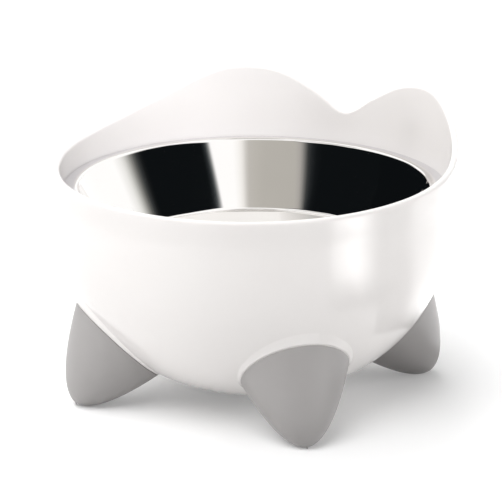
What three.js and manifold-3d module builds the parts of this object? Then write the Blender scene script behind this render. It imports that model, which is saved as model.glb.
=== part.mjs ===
// Raised cat food bowl: a bowl-shaped white housing with two ears on its back rim,
// a loose steel dish that rests on ribs inside it, and four cone-shaped grey feet.
//
// Millimetres. +Z is up, the ground is z = 0, the front faces -Y and the ears stand at +Y.
// Angles around the bowl are measured from the front towards +X.

import * as THREE from 'three';
import { mergeVertices } from 'three/addons/utils/BufferGeometryUtils.js';
import Module from 'manifold-3d';

// Housing: a bowl curve below its widest level, a nearly upright wall above it
const ground_gap = 2.2;
const body_depth = 78.9;
const body_radius = 79.6;
const side_roundness_share = 2.03;
const depth_roundness_share = 2.39;
const underside_flat_radius = 22;
const wall = 2.7;

// Rim: height over the widest level at the front, and what the ear tips add to it
const front_rise = 12.4;
const ear_rise = 22.8;
const rim_flare = 0.7;
const rim_flare_height = 6;
const ear_lean_share = 0.055;
const rim_angles_deg = [0, 60, 100, 120, 140, 150, 160, 170, 180];
const rim_rise_shares = [0, 0.053, 0.219, 0.509, 0.947, 1, 0.878, 0.564, 0.231];

// Dish: the bend is the ring where its wall turns over into the flange
const bend_below_rim = 7.2;
const flange_width = 5;
const flange_fall_share = 0.17;
const flange_gap = 0.5;
const hem_drop = 1.2;
const bend_radius = 1.2;
const dish_depth = 27.4;
const dish_floor_radius = 53.9;
const dish_corner_radius = 3;
const dish_thickness = 0.7;

// Ribs that carry the flange
const rib_count = 12;
const rib_thickness = 2;
const rib_clearance = 0.6;
const seat_gap = 0.3;

// Legs: each foot and its boss follow one cone with a rounded tip, on a leaning axis
const front_leg_angle_deg = 44.2;
const back_leg_angle_deg = 133.7;
const leg_lean_deg = 36.7;
const leg_tip_inset = 4.1;
const leg_tip_height = 1.1;
const leg_radius = 31.3;
const leg_reach = 60.4;
const leg_taper_share = 0.537;
const boss_top_height = 1.35;
const boss_low_height = 0.3;
const boss_top_flare = 1.7;
const boss_low_flare = 0.5;
const boss_flare_share = 1.4;
const foot_gap = 0.3;
const foot_wall = 3;
const foot_floor = 6;
const post_radius = 5;

// Screws down the legs
const screw_head_radius = 3;
const screw_head_height = 1.8;
const screw_radius = 1.5;
const screw_length = 12;
const screw_grip = 2;
const screw_clearance = 0.3;
const screw_hole_spare = 1;
const recess_radius = 1.1;
const recess_depth = 1;

// Facets
const around_count = 84;
const body_row_count = 10;
const rim_row_count = 3;
const lip_step_count = 4;
const dish_around_count = 64;
const corner_step_count = 3;
const leg_around_count = 20;
const leg_row_count = 6;
const cap_ring_count = 3;
const flare_row_count = 3;
const post_around_count = 12;
const recess_side_count = 6;
const weld_share = 0.001;
const halving_count = 40;

// Worked out from the sizes above
const widest_height = ground_gap + body_depth;
const bend_height = widest_height + front_rise - bend_below_rim;
const leg_lean = THREE.MathUtils.degToRad(leg_lean_deg);
const leg_tip_radius = body_radius - leg_tip_inset;

const shell_plastic = new THREE.MeshStandardMaterial({ color: 0xf3f0ee, roughness: 0.22, metalness: 0 });
const dish_steel = new THREE.MeshStandardMaterial({ color: 0xc8c6c4, roughness: 0.1, metalness: 1 });
const foot_rubber = new THREE.MeshStandardMaterial({ color: 0x96918f, roughness: 0.5, metalness: 0 });
const screw_steel = new THREE.MeshStandardMaterial({ color: 0x9c9c9a, roughness: 0.35, metalness: 1 });

const wasm = await Module();
wasm.setup();

// Joins a run of rings, each the same number of points, into a closed surface with a pole at
// each end. Rings turn anticlockwise seen from the end that the run goes towards.
function closed_rings(start, rings, end) {
  const count = rings[0].length;
  const points = [start, ...rings.flat(), end];
  const at = (row, step) => 1 + row * count + (step % count);
  const faces = [];
  for (let step = 0; step < count; step += 1) {
    faces.push(0, at(0, step + 1), at(0, step));
    for (let row = 0; row + 1 < rings.length; row += 1) {
      faces.push(at(row, step), at(row, step + 1), at(row + 1, step + 1));
      faces.push(at(row, step), at(row + 1, step + 1), at(row + 1, step));
    }
    const last = rings.length - 1;
    faces.push(points.length - 1, at(last, step), at(last, step + 1));
  }
  const geometry = new THREE.BufferGeometry().setFromPoints(points);
  geometry.setIndex(faces);
  return geometry;
}

// A turned body about +Z from [radius, height] pairs that run up its outside
function turned(profile, steps) {
  const points = profile.map(([radius, height]) => new THREE.Vector2(radius, height));
  return new THREE.LatheGeometry(points, steps).rotateX(Math.PI / 2);
}

function to_solid(geometry) {
  const bare = geometry.clone();
  bare.deleteAttribute('normal');
  bare.deleteAttribute('uv');
  const merged = mergeVertices(bare, foot_gap * weld_share);
  const corners = merged.index.array;
  const kept = [];
  for (let i = 0; i < corners.length; i += 3) {
    const [a, b, c] = corners.slice(i, i + 3);
    if (a !== b && b !== c && c !== a) kept.push(a, b, c);
  }
  const vertProperties = new Float32Array(merged.attributes.position.array);
  const triVerts = new Uint32Array(kept);
  return new wasm.Manifold(new wasm.Mesh({ numProp: 3, vertProperties, triVerts }));
}

function to_geometry(solid) {
  const mesh = solid.getMesh();
  const geometry = new THREE.BufferGeometry();
  geometry.setAttribute('position', new THREE.BufferAttribute(mesh.vertProperties, 3));
  geometry.setIndex(new THREE.BufferAttribute(mesh.triVerts, 1));
  geometry.computeVertexNormals();
  return geometry;
}

// Smooth curve through stations, level at both ends
function smooth_between(stations, values, x) {
  const last = stations.length - 1;
  const slope = (i) => (i === 0 || i === last ? 0
    : (values[i + 1] - values[i - 1]) / (stations[i + 1] - stations[i - 1]));
  let i = 0;
  while (i < last - 1 && x > stations[i + 1]) i += 1;
  const span = stations[i + 1] - stations[i];
  const t = (x - stations[i]) / span;
  const rise = t * t * (3 - 2 * t);
  const leave = t * (1 - t) * (1 - t);
  const arrive = t * t * (t - 1);
  return values[i] + (values[i + 1] - values[i]) * rise
    + span * (leave * slope(i) + arrive * slope(i + 1));
}

// Top of the rim at an angle in degrees from the front, the same on both sides
function rim_height(angle) {
  const folded = Math.abs(((angle + 180) % 360) - 180);
  const share = smooth_between(rim_angles_deg, rim_rise_shares, folded);
  return widest_height + front_rise + ear_rise * share;
}

// Outside radius above the widest level: a small flare, then a steady lean
function upper_radius(height) {
  const rise = height - widest_height;
  return body_radius + ear_lean_share * rise + rim_flare * (1 - Math.exp(-rise / rim_flare_height));
}

// Point of the bowl curve at a turn from 0 (widest) to 90 degrees (lowest), grown by offset
function body_point(turn, offset) {
  const radius = (body_radius + offset) * Math.cos(turn) ** (2 / side_roundness_share);
  const drop = (body_depth + offset) * Math.sin(turn) ** (2 / depth_roundness_share);
  return [radius, widest_height - drop];
}

function body_turn(radius, offset) {
  return Math.acos((radius / (body_radius + offset)) ** (side_roundness_share / 2));
}

// Rows of the bowl curve from the underside flat up to the widest level
function body_rows(offset) {
  const flat_turn = body_turn(underside_flat_radius, offset);
  const rows = [];
  for (let row = 0; row <= body_row_count; row += 1) {
    rows.push(body_point(flat_turn * (1 - row / body_row_count), offset));
  }
  return rows;
}

// Below zero inside the bowl curve grown by offset, above zero outside it
function outside_body(point, offset) {
  const across = Math.hypot(point.x, point.y) / (body_radius + offset);
  const drop = Math.max(0, widest_height - point.z) / (body_depth + offset);
  return across ** side_roundness_share + drop ** depth_roundness_share - 1;
}

// Section of the housing at one angle, as [radius, height] pairs from underside to inside floor
function housing_section(angle) {
  const lip = wall / 2;
  const lip_height = rim_height(angle) - lip;
  const rise = lip_height - widest_height;
  const outer = [];
  const inner = [];
  for (let row = 1; row <= rim_row_count; row += 1) {
    const height = widest_height + rise * (row / rim_row_count);
    outer.push([upper_radius(height), height]);
    inner.push([upper_radius(height) - wall, height]);
  }
  const crest = [];
  for (let step = 1; step < lip_step_count; step += 1) {
    const turn = Math.PI * (step / lip_step_count);
    const middle = upper_radius(lip_height) - lip;
    crest.push([middle + lip * Math.cos(turn), lip_height + lip * Math.sin(turn)]);
  }
  const inside = body_rows(-wall).reverse();
  return [...body_rows(0), ...outer, ...crest, ...inner.reverse(), ...inside];
}

function around_axis(radius, angle, height) {
  const turn = THREE.MathUtils.degToRad(angle);
  return new THREE.Vector3(radius * Math.sin(turn), -radius * Math.cos(turn), height);
}

function housing_surface() {
  const sections = [];
  for (let step = 0; step < around_count; step += 1) {
    const angle = 360 * (step / around_count);
    sections.push(housing_section(angle).map(([radius, height]) => around_axis(radius, angle, height)));
  }
  const rings = sections[0].map((_, row) => sections.map((section) => section[row]));
  const underside = new THREE.Vector3(0, 0, rings[0][0].z);
  const inside_floor = new THREE.Vector3(0, 0, rings[rings.length - 1][0].z);
  return closed_rings(underside, rings, inside_floor);
}

// Place of a leg: its own +Z runs up the leg from the tip, its +X faces out and up
function leg_matrix(angle) {
  const turn = new THREE.Matrix4().makeRotationZ(THREE.MathUtils.degToRad(angle - 90));
  const move = new THREE.Matrix4().makeTranslation(leg_tip_radius, 0, leg_tip_height);
  const lean = new THREE.Matrix4().makeRotationY(-leg_lean);
  return turn.multiply(move).multiply(lean);
}

const leg_to_object = leg_matrix(0);
const object_to_leg = leg_to_object.clone().invert();

function leg_cone_radius(along) {
  return leg_radius * (along / leg_reach) ** leg_taper_share;
}

function leg_point(turn, radius, along) {
  return new THREE.Vector3(radius * Math.cos(turn), radius * Math.sin(turn), along);
}

// How far up the leg its cone, narrowed to a share and grown by spread, meets the grown bowl
function along_to_body(turn, share, spread, offset) {
  let low = 0;
  let high = leg_reach;
  for (let halving = 0; halving < halving_count; halving += 1) {
    const middle = (low + high) / 2;
    const radius = share * (leg_cone_radius(middle) + spread);
    const point = leg_point(turn, radius, middle).applyMatrix4(leg_to_object);
    if (outside_body(point, offset) > 0) low = middle;
    else high = middle;
  }
  return low;
}

function leg_ring(place) {
  const ring = [];
  for (let step = 0; step < leg_around_count; step += 1) {
    ring.push(place(2 * Math.PI * (step / leg_around_count)));
  }
  return ring;
}

// How much of the brow shows at a turn round the leg: all of it above the foot, none below
function brow_share(turn) {
  return ((1 + Math.cos(turn)) / 2) ** 2;
}

// Height of the boss face over the bowl curve, at a share of the way out from its middle
function boss_rise(turn, share) {
  const edge = boss_low_height + (boss_top_height - boss_low_height) * brow_share(turn);
  const middle = (boss_top_height + boss_low_height) / 2;
  return middle + (edge - middle) * share;
}

function boss_spread(turn) {
  return boss_low_flare + (boss_top_flare - boss_low_flare) * brow_share(turn);
}

// Ring round the leg on the bowl curve, with the spread and offset that each turn asks for
function ring_on_body(share, spread_at, offset_at) {
  return leg_ring((turn) => {
    const spread = spread_at(turn);
    const along = along_to_body(turn, share, spread, offset_at(turn, share));
    return leg_point(turn, share * (leg_cone_radius(along) + spread), along);
  });
}

// Rings that close such a ring towards its middle, and the middle point
function cap_on_body(spread_at, offset_at) {
  const rings = [];
  for (let ring = cap_ring_count - 1; ring > 0; ring -= 1) {
    rings.push(ring_on_body(ring / cap_ring_count, spread_at, offset_at));
  }
  const middle = leg_point(0, 0, along_to_body(0, 0, 0, offset_at(0, 0)));
  return { rings, middle };
}

const no_spread = () => 0;
const boss_face_along = along_to_body(0, 0, 0, boss_rise(0, 0));
const screw_seat_along = boss_face_along + screw_grip;

// White boss that carries a foot. Its side slopes out from the foot's edge to the housing, and
// shows as a brow above the foot.
function boss_surface() {
  const face = cap_on_body(no_spread, boss_rise);
  const rings = [...face.rings.reverse(), ring_on_body(1, no_spread, boss_rise)];
  for (let row = 1; row <= flare_row_count; row += 1) {
    const fall = row / flare_row_count;
    const spread_at = (turn) => boss_spread(turn) * fall ** boss_flare_share;
    rings.push(ring_on_body(1, spread_at, (turn) => boss_rise(turn, 1) * (1 - fall)));
  }
  const root_offset = () => -wall / 2;
  rings.push(ring_on_body(1, boss_spread, root_offset));
  const root = cap_on_body(boss_spread, root_offset);
  return closed_rings(face.middle, [...rings, ...root.rings], root.middle);
}

function boss_solids() {
  const boss = to_solid(boss_surface());
  return leg_angles().map((angle) => boss.transform(leg_matrix(angle).elements));
}

// Screw hole through the wall, with a pocket for the head, open to the inside of the housing
function screw_hole_solids() {
  const head_room = screw_head_radius + screw_clearance;
  const hole = screw_radius + screw_clearance;
  const below = boss_face_along - screw_grip;
  const above = screw_seat_along + screw_grip + wall;
  const cutter = to_solid(turned([[0, below], [hole, below], [hole, screw_seat_along],
    [head_room, screw_seat_along], [head_room, above], [0, above]], post_around_count));
  return leg_angles().map((angle) => cutter.transform(leg_matrix(angle).elements));
}

const flange_radius = upper_radius(bend_height) - wall - flange_gap;
const dish_bend_radius = flange_radius - flange_width;

// Height of the flange's upper face, or of the face that lies depth under it
function flange_face(radius, depth) {
  const steepness = Math.hypot(1, flange_fall_share);
  const crown = bend_height - bend_radius + (bend_radius - depth) * steepness;
  return crown - flange_fall_share * (radius - dish_bend_radius);
}

// Ribs reach in under the flange and run down until the wall meets them
function rib_geometry() {
  const inner = dish_bend_radius + dish_thickness + rib_clearance;
  const outer = flange_radius + flange_gap + wall / 2;
  const top = (radius) => flange_face(radius, 0) - hem_drop - seat_gap;
  const low_turn = body_turn(inner, -wall / 2);
  const outline = new THREE.Shape();
  outline.moveTo(inner, top(inner));
  for (let row = 0; row <= rim_row_count; row += 1) {
    const [radius, height] = body_point(low_turn * (1 - row / rim_row_count), -wall / 2);
    outline.lineTo(radius, height);
  }
  outline.lineTo(outer, top(outer));
  const rib = new THREE.ExtrudeGeometry(outline, { depth: rib_thickness, bevelEnabled: false });
  return rib.translate(0, 0, -rib_thickness / 2).rotateX(Math.PI / 2);
}

function rib_solids() {
  const rib = to_solid(rib_geometry());
  const solids = [];
  for (let copy = 0; copy < rib_count; copy += 1) {
    solids.push(rib.rotate([0, 0, 360 * ((copy + 0.5) / rib_count)]));
  }
  return solids;
}

function housing_geometry() {
  const shell = to_solid(housing_surface());
  const parts = [shell, ...boss_solids(), ...rib_solids()];
  const joined = parts.reduce((whole, part) => whole.add(part));
  const bored = screw_hole_solids().reduce((whole, hole) => whole.subtract(hole), joined);
  return to_geometry(bored);
}

// Points of an arc in a section, from one angle to another, both ends included
function arc_points(centre, radius, from, to, steps) {
  const points = [];
  for (let step = 0; step <= steps; step += 1) {
    const turn = from + (to - from) * (step / steps);
    points.push([centre[0] + radius * Math.cos(turn), centre[1] + radius * Math.sin(turn)]);
  }
  return points;
}

// Line of the dish from the middle of its floor up its wall and over the bend, depth outside
// its inner face. A straight wall joins the round corner to the round bend.
function dish_line(depth) {
  const floor = bend_height - dish_depth;
  const corner = [dish_floor_radius, floor + dish_corner_radius];
  const bend = [dish_bend_radius, bend_height - bend_radius];
  const run = bend[0] - corner[0];
  const rise = bend[1] - corner[1];
  const swing = Math.asin((dish_corner_radius + bend_radius) / Math.hypot(run, rise));
  const slope = Math.atan2(rise, run) + swing;
  const over = Math.PI / 2 - Math.atan(flange_fall_share);
  const quarter = Math.PI / 2;
  return [
    [0, floor - depth],
    ...arc_points(corner, dish_corner_radius + depth, -quarter, slope - quarter, corner_step_count),
    ...arc_points(bend, bend_radius - depth, slope + quarter, over, corner_step_count),
  ];
}

// The dish is one thickness of sheet, and its flange ends in a hem turned down at the edge
function dish_geometry() {
  const hem_inner = flange_radius - dish_thickness;
  const hem_low = flange_face(flange_radius, 0) - hem_drop;
  const profile = [
    ...dish_line(dish_thickness),
    [hem_inner, flange_face(hem_inner, dish_thickness)],
    [hem_inner, hem_low],
    [flange_radius, hem_low],
    [flange_radius, flange_face(flange_radius, 0)],
    ...dish_line(0).reverse(),
  ];
  return turned(profile, dish_around_count);
}

// Rounded cone of a foot, up to the face of its boss
function leg_surface() {
  const offset_at = (turn, share) => boss_rise(turn, share) + foot_gap;
  const rings = [];
  for (let row = 1; row <= leg_row_count; row += 1) {
    const share = (row / leg_row_count) ** 2;
    rings.push(leg_ring((turn) => {
      const along = share * along_to_body(turn, 1, 0, offset_at(turn, 1));
      return leg_point(turn, leg_cone_radius(along), along);
    }));
  }
  const cap = cap_on_body(no_spread, offset_at);
  return closed_rings(leg_point(0, 0, 0), [...rings, ...cap.rings], cap.middle);
}

// Hollow of a foot, open towards its boss, around the post that takes the screw
function foot_hollow() {
  const profile = [[0, foot_floor]];
  for (let row = 0; row <= rim_row_count; row += 1) {
    const along = foot_floor + (leg_reach - foot_floor) * (row / rim_row_count) ** 2;
    profile.push([leg_cone_radius(along) - foot_wall, along]);
  }
  profile.push([0, leg_reach]);
  const hollow = to_solid(turned(profile, leg_around_count));
  const post = to_solid(turned([[0, 0], [post_radius, 0], [post_radius, leg_reach + wall],
    [0, leg_reach + wall]], post_around_count));
  return hollow.subtract(post);
}

function foot_geometry() {
  const cone = to_solid(leg_surface());
  const hole_end = screw_seat_along - screw_length - screw_hole_spare;
  const hole_radius = screw_radius + screw_clearance;
  const hole = to_solid(turned([[0, hole_end], [hole_radius, hole_end], [hole_radius, leg_reach],
    [0, leg_reach]], post_around_count));
  const ground = new THREE.BoxGeometry(leg_reach, leg_reach, leg_reach);
  ground.translate(0, -leg_tip_radius, -leg_reach / 2).applyMatrix4(object_to_leg);
  const foot = cone.subtract(foot_hollow()).subtract(hole).subtract(to_solid(ground));
  return to_geometry(foot);
}

// Pan-head screw with a six-sided recess, its tip pointing down the leg
function screw_geometry() {
  const seat = screw_seat_along + screw_clearance;
  const tip = screw_seat_along - screw_length;
  const top = seat + screw_head_height;
  const body = to_solid(turned([[0, tip], [screw_radius / 2, tip], [screw_radius, tip + screw_radius],
    [screw_radius, seat], [screw_head_radius, seat], [screw_head_radius, top - screw_head_height / 2],
    [screw_head_radius - screw_head_height / 2, top], [0, top]], post_around_count));
  const recess = to_solid(turned([[0, top - recess_depth], [recess_radius, top - recess_depth],
    [recess_radius, top + recess_depth], [0, top + recess_depth]], recess_side_count));
  return to_geometry(body.subtract(recess));
}

function leg_angles() {
  return [front_leg_angle_deg, -front_leg_angle_deg, back_leg_angle_deg, -back_leg_angle_deg];
}

const leg_names = ['front_right', 'front_left', 'back_right', 'back_left'];

function named_mesh(name, geometry, material) {
  const mesh = new THREE.Mesh(geometry, material);
  mesh.name = name;
  return mesh;
}

const bowl = new THREE.Group();
bowl.add(named_mesh('housing_shell', housing_geometry(), shell_plastic));
bowl.add(named_mesh('steel_dish', dish_geometry(), dish_steel));

const foot_shape = foot_geometry();
const screw_shape = screw_geometry();
leg_names.forEach((name, index) => {
  const leg = new THREE.Group();
  leg.applyMatrix4(leg_matrix(leg_angles()[index]));
  leg.add(named_mesh(`foot_${name}`, foot_shape, foot_rubber));
  leg.add(named_mesh(`foot_screw_${name}`, screw_shape, screw_steel));
  bowl.add(leg);
});

export default bowl;
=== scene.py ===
import math
from functools import partial

import bmesh
import bpy
import numpy as np
from mathutils import Matrix


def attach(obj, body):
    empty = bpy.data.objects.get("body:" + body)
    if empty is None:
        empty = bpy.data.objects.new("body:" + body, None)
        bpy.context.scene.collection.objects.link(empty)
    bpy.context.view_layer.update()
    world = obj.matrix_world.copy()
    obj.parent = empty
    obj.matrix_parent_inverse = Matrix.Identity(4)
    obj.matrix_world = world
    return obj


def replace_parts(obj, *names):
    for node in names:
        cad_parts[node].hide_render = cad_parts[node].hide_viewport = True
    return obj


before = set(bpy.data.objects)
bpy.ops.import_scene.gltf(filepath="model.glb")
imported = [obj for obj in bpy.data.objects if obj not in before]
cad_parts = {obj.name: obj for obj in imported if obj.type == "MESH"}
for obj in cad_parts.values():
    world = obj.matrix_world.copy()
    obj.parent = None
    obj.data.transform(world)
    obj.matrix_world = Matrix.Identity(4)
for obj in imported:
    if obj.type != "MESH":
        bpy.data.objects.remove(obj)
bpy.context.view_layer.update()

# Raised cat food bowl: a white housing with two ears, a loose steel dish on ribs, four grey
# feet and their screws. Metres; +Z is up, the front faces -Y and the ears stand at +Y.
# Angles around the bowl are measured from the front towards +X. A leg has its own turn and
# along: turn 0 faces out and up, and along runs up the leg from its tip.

MM = 0.001

# Housing
GROUND_GAP = 2.2 * MM
BODY_DEPTH = 78.9 * MM
BODY_RADIUS = 79.6 * MM
SIDE_ROUNDNESS = 2.03
DEPTH_ROUNDNESS = 2.39
UNDERSIDE_FLAT_RADIUS = 22 * MM
WALL = 2.7 * MM
WIDEST_HEIGHT = GROUND_GAP + BODY_DEPTH
FRONT_RISE = 12.4 * MM
EAR_RISE = 22.8 * MM
RIM_FLARE = 0.7 * MM
RIM_FLARE_HEIGHT = 7 * MM
EAR_LEAN = 0.055
LEAN_START = 3 * MM
RIM_ANGLES = [0, 60, 100, 120, 140, 150, 160, 170, 180]
RIM_RISES = [0, 0.053, 0.219, 0.509, 0.947, 1, 0.878, 0.564, 0.231]

# Dish
BEND_HEIGHT = WIDEST_HEIGHT + FRONT_RISE - 7.2 * MM
FLANGE_RADIUS = 77.1 * MM
FLANGE_WIDTH = 5 * MM
FLANGE_FALL = 0.17
BEND_RADIUS = 1.6 * MM
DISH_DEPTH = 27.4 * MM
DISH_CORNER = 3 * MM
DISH_FLOOR_RADIUS = 53.9 * MM
DISH_THICKNESS = 0.7 * MM
HEM_DROP = 1.2 * MM
HEM_CORNER = 0.8 * MM
DULL_AND_SHADED_FROM_BEND = 0.8 * MM

# Ribs
RIB_COUNT = 12
RIB_THICKNESS = 2 * MM
RIB_CLEARANCE = 0.6 * MM
RIB_SEAT_GAP = 0.3 * MM
RIB_BEVEL = 0.3 * MM
FLANGE_GAP = 0.5 * MM

# Legs, bosses and feet
FRONT_LEG_ANGLE = math.radians(44.2)
BACK_LEG_ANGLE = math.radians(133.7)
LEG_LEAN = math.radians(36.7)
LEG_TIP_RADIUS = 75.5 * MM
LEG_TIP_HEIGHT = 1.1 * MM
LEG_RADIUS = 31.3 * MM
LEG_REACH = 60.4 * MM
LEG_TAPER = 0.537
FOOT_TOP_RISE = 1.65 * MM
FOOT_LOW_RISE = 0.6 * MM
BOSS_GAP = 0.14 * MM
BOSS_TOP_FLARE = 1.9 * MM
BOSS_LOW_FLARE = 0.5 * MM
BOSS_EDGE = 0.25 * MM
BROW_CREASE = 0.06 * MM
BROW_HOLLOW = 1.15
BROW_SWELL, BROW_SWELL_FROM = 0.12, 0.8
FOOT_EDGE = 0.3 * MM

# Screws
SCREW_SEAT = 29.6 * MM
SCREW_LENGTH = 12 * MM
SCREW_RADIUS = 1.5 * MM
HOLE_RADIUS = 1.8 * MM
HEAD_RADIUS = 3 * MM
HEAD_HEIGHT = 1.8 * MM
HEAD_GAP = 0.3 * MM
TIP_SHARE, HEAD_TOP_SHARE, HEAD_ROUNDING = 0.5, 0.98, 0.55
HOLE_END = SCREW_SEAT - SCREW_LENGTH - MM
POCKET_RADIUS = 3.3 * MM
POCKET_EDGE_DEPTH = 0.2 * MM
POCKET_EDGE_WIDTH = 0.3 * MM

# Mesh of the housing: points across the top and down the side of a quarter, rows of its upper
# wall, and steps over the lip
TOP_COUNT = 60
SIDE_COUNT = 36
WALL_ROWS = 14
LIP_STEPS = 12
# Mesh of a foot
FOOT_COUNT = 96
FOOT_ROWS = 30
# Steps of the sums behind them: points down the bowl and to a half turn of a leg, and halvings
BOWL_STEPS = 3000
TURN_STEPS = 600
HALVINGS = 44
# Points nearer than this are made one; pieces made by a node tree have the finer distance
MERGE = 1e-6
FINE_MERGE = 1e-7

# View: its angles, how far off it is, the point it looks at in millimetres, and its lens
VIEW_AZIMUTH = math.radians(28.668)
VIEW_ELEVATION = math.radians(16.883)
VIEW_DISTANCE = 1222.7 * MM
VIEW_RIGHT, VIEW_UP, VIEW_SINK = -1.571, 56.686, 1.05
LENS = 213.6


def node(tree, kind, inputs=None, **settings):
    """Adds a node with its settings; an input is a value, or the socket that feeds it."""
    made = tree.nodes.new(kind)
    for key, value in settings.items():
        setattr(made, key, value)
    for key, value in (inputs or {}).items():
        if isinstance(value, bpy.types.NodeSocket):
            tree.links.new(value, made.inputs[key])
        else:
            made.inputs[key].default_value = value
    return made


def new_object(name, data):
    """An object in the scene."""
    made = bpy.data.objects.new(name, data)
    bpy.context.scene.collection.objects.link(made)
    return made


def bare_material(name):
    """A material whose tree is still empty."""
    made = bpy.data.materials.new(name)
    made.use_nodes = True
    made.node_tree.nodes.clear()
    return made, made.node_tree


def colour(code):
    """Linear colour of an sRGB hex value."""
    shares = [int(code[i:i + 2], 16) / 255 for i in (1, 3, 5)]
    return (*[s / 12.92 if s <= 0.04045 else ((s + 0.055) / 1.055) ** 2.4 for s in shares], 1)


# Finishes

def new_finish(name, shader_values):
    """A material with a plain shader, and its position in metres over the piece."""
    made = bpy.data.materials.new(name)
    made.use_nodes = True
    tree = made.node_tree
    shader = tree.nodes["Principled BSDF"]
    for key, value in shader_values.items():
        shader.inputs[key].default_value = value
    return made, tree, shader, node(tree, "ShaderNodeTexCoord").outputs["Object"]


def noise(tree, place, scale, detail):
    """Clouds from 0 to 1 over a piece; the scale is how many go to a metre."""
    return node(tree, "ShaderNodeTexNoise", {
        "Vector": place, "Scale": scale, "Detail": detail}).outputs["Fac"]


def mixed(tree, share, first, second):
    """A colour between two: the first is a hex value or a socket, the second a hex value."""
    return node(tree, "ShaderNodeMix", {
        "Factor": share, "A": colour(first) if isinstance(first, str) else first,
        "B": colour(second)}, data_type="RGBA").outputs["Result"]


def ranged(tree, share, low, high):
    """A number between low and high."""
    return node(tree, "ShaderNodeMapRange", {
        "Value": share, "To Min": low, "To Max": high}).outputs["Result"]


def dress(tree, shader, tint, roughness, relief=None, strength=0.0, depth=0.0):
    """Gives the shader its colour and roughness, and a relief of some depth in metres."""
    tree.links.new(tint, shader.inputs["Base Color"])
    tree.links.new(roughness, shader.inputs["Roughness"])
    if relief:
        bump = node(tree, "ShaderNodeBump", {
            "Height": relief, "Strength": strength, "Distance": depth})
        tree.links.new(bump.outputs["Normal"], shader.inputs["Normal"])


def glossy_moulded_abs():
    """White ABS from a polished mould: a clean gloss, with a very slight ripple in it."""
    made, tree, shader, place = new_finish("glossy_moulded_abs", {"IOR": 1.53})
    # Ripple of the moulded skin, 2.5 mm from crest to crest and some microns high
    ripple = noise(tree, place, 400, 1)
    dress(tree, shader, mixed(tree, noise(tree, place, 22, 2), "#F0ECEA", "#F3F0EE"),
          ranged(tree, noise(tree, place, 160, 4), 0.13, 0.19), ripple, 0.25, 0.01 * MM)
    return made


def mirror_polished_steel():
    """Deep-drawn stainless steel, buffed to a mirror: faint rings from the buffing wheel."""
    made, tree, shader, place = new_finish("mirror_polished_steel", {"Metallic": 1.0})
    apart = node(tree, "ShaderNodeSeparateXYZ", {"Vector": place})
    flat = node(tree, "ShaderNodeCombineXYZ", {"X": apart.outputs["X"], "Y": apart.outputs["Y"]})
    out = node(tree, "ShaderNodeVectorMath", {0: flat.outputs["Vector"]},
               operation="LENGTH").outputs["Value"]
    ring = node(tree, "ShaderNodeCombineXYZ", {"X": out, "Z": apart.outputs["Z"]})
    # Buffing rings about 0.6 mm apart, coarser than real ones so that they show
    lines = noise(tree, ring.outputs["Vector"], 1600, 2)
    smear = noise(tree, place, 45, 5)
    # The flange outside the bend is pressed after the buffing, so it is a little rougher; its darker
    # tint is painted shade that dims its reflection
    flange = node(tree, "ShaderNodeMapRange", {
        "Value": out, "From Min": FLANGE_RADIUS - FLANGE_WIDTH,
        "From Max": FLANGE_RADIUS - FLANGE_WIDTH + DULL_AND_SHADED_FROM_BEND}).outputs["Result"]
    roughness = node(tree, "ShaderNodeMath", {0: flange, 1: 0.08, 2: ranged(tree, smear, 0.02, 0.07)},
                     operation="MULTIPLY_ADD").outputs["Value"]
    # Painted shade: the flange's tint is darker than the bowl's, standing in for its dimmer reflection
    tint = mixed(tree, flange, mixed(tree, smear, "#EEECEA", "#F3F1EF"), "#DCDBDE")
    dress(tree, shader, tint, roughness, lines, 0.12, 0.004 * MM)
    return made


def satin_rubber():
    """Grey thermoplastic rubber from a spark-eroded mould: satin, with a fine even grain."""
    made, tree, shader, place = new_finish("satin_thermoplastic_rubber", {"IOR": 1.5})
    # Mould grain about 0.35 mm, coarser than a real spark-eroded one so that it shows
    grain = noise(tree, place, 2800, 2)
    dress(tree, shader, mixed(tree, noise(tree, place, 60, 3), "#A09D9C", "#A8A5A4"),
          ranged(tree, grain, 0.4, 0.5), grain, 0.3, 0.02 * MM)
    return made


def zinc_plated_steel():
    """Zinc-plated screw steel: dull silver with a cloudy bluish bloom."""
    made, tree, shader, place = new_finish("zinc_plated_steel", {"Metallic": 1.0})
    bloom = noise(tree, place, 700, 3)
    dress(tree, shader, mixed(tree, bloom, "#A9ABAD", "#C9CBCE"), ranged(tree, bloom, 0.25, 0.45))
    return made


ABS = glossy_moulded_abs()
STEEL = mirror_polished_steel()
RUBBER = satin_rubber()
ZINC = zinc_plated_steel()


# Shapes of the bowl and its legs

def bowl_curve(turn, offset=0.0):
    """Radius and height below the widest level; the turn is 0 there and 90 degrees at the bottom."""
    radius = (BODY_RADIUS + offset) * np.cos(turn) ** (2 / SIDE_ROUNDNESS)
    drop = (BODY_DEPTH + offset) * np.sin(turn) ** (2 / DEPTH_ROUNDNESS)
    return radius, WIDEST_HEIGHT - drop


def bowl_turn(radius, offset=0.0):
    """Turn at which the bowl curve, grown by offset, has a radius."""
    share = np.clip(radius / (BODY_RADIUS + offset), 0, 1)
    return np.arccos(share ** (SIDE_ROUNDNESS / 2))


def outside_bowl(points, offset):
    """Which points lie outside the bowl curve grown by offset."""
    across = np.hypot(points[..., 0], points[..., 1]) / (BODY_RADIUS + offset)
    drop = np.maximum(0, WIDEST_HEIGHT - points[..., 2]) / (BODY_DEPTH + offset)
    return across ** SIDE_ROUNDNESS + drop ** DEPTH_ROUNDNESS > 1


def around(radius, angle, height):
    """Points at angles round the bowl's axis."""
    return np.stack(np.broadcast_arrays(radius * np.sin(angle), -radius * np.cos(angle), height), -1)


def upper_radius(height):
    """Outside radius above the widest level: it leaves the bowl curve smoothly and leans out."""
    rise = height - WIDEST_HEIGHT
    lean = EAR_LEAN * (rise - LEAN_START * (1 - np.exp(-rise / LEAN_START)))
    flare = RIM_FLARE + EAR_LEAN * LEAN_START
    return BODY_RADIUS + lean + flare * (1 - np.exp(-(rise / RIM_FLARE_HEIGHT) ** 2))


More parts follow.
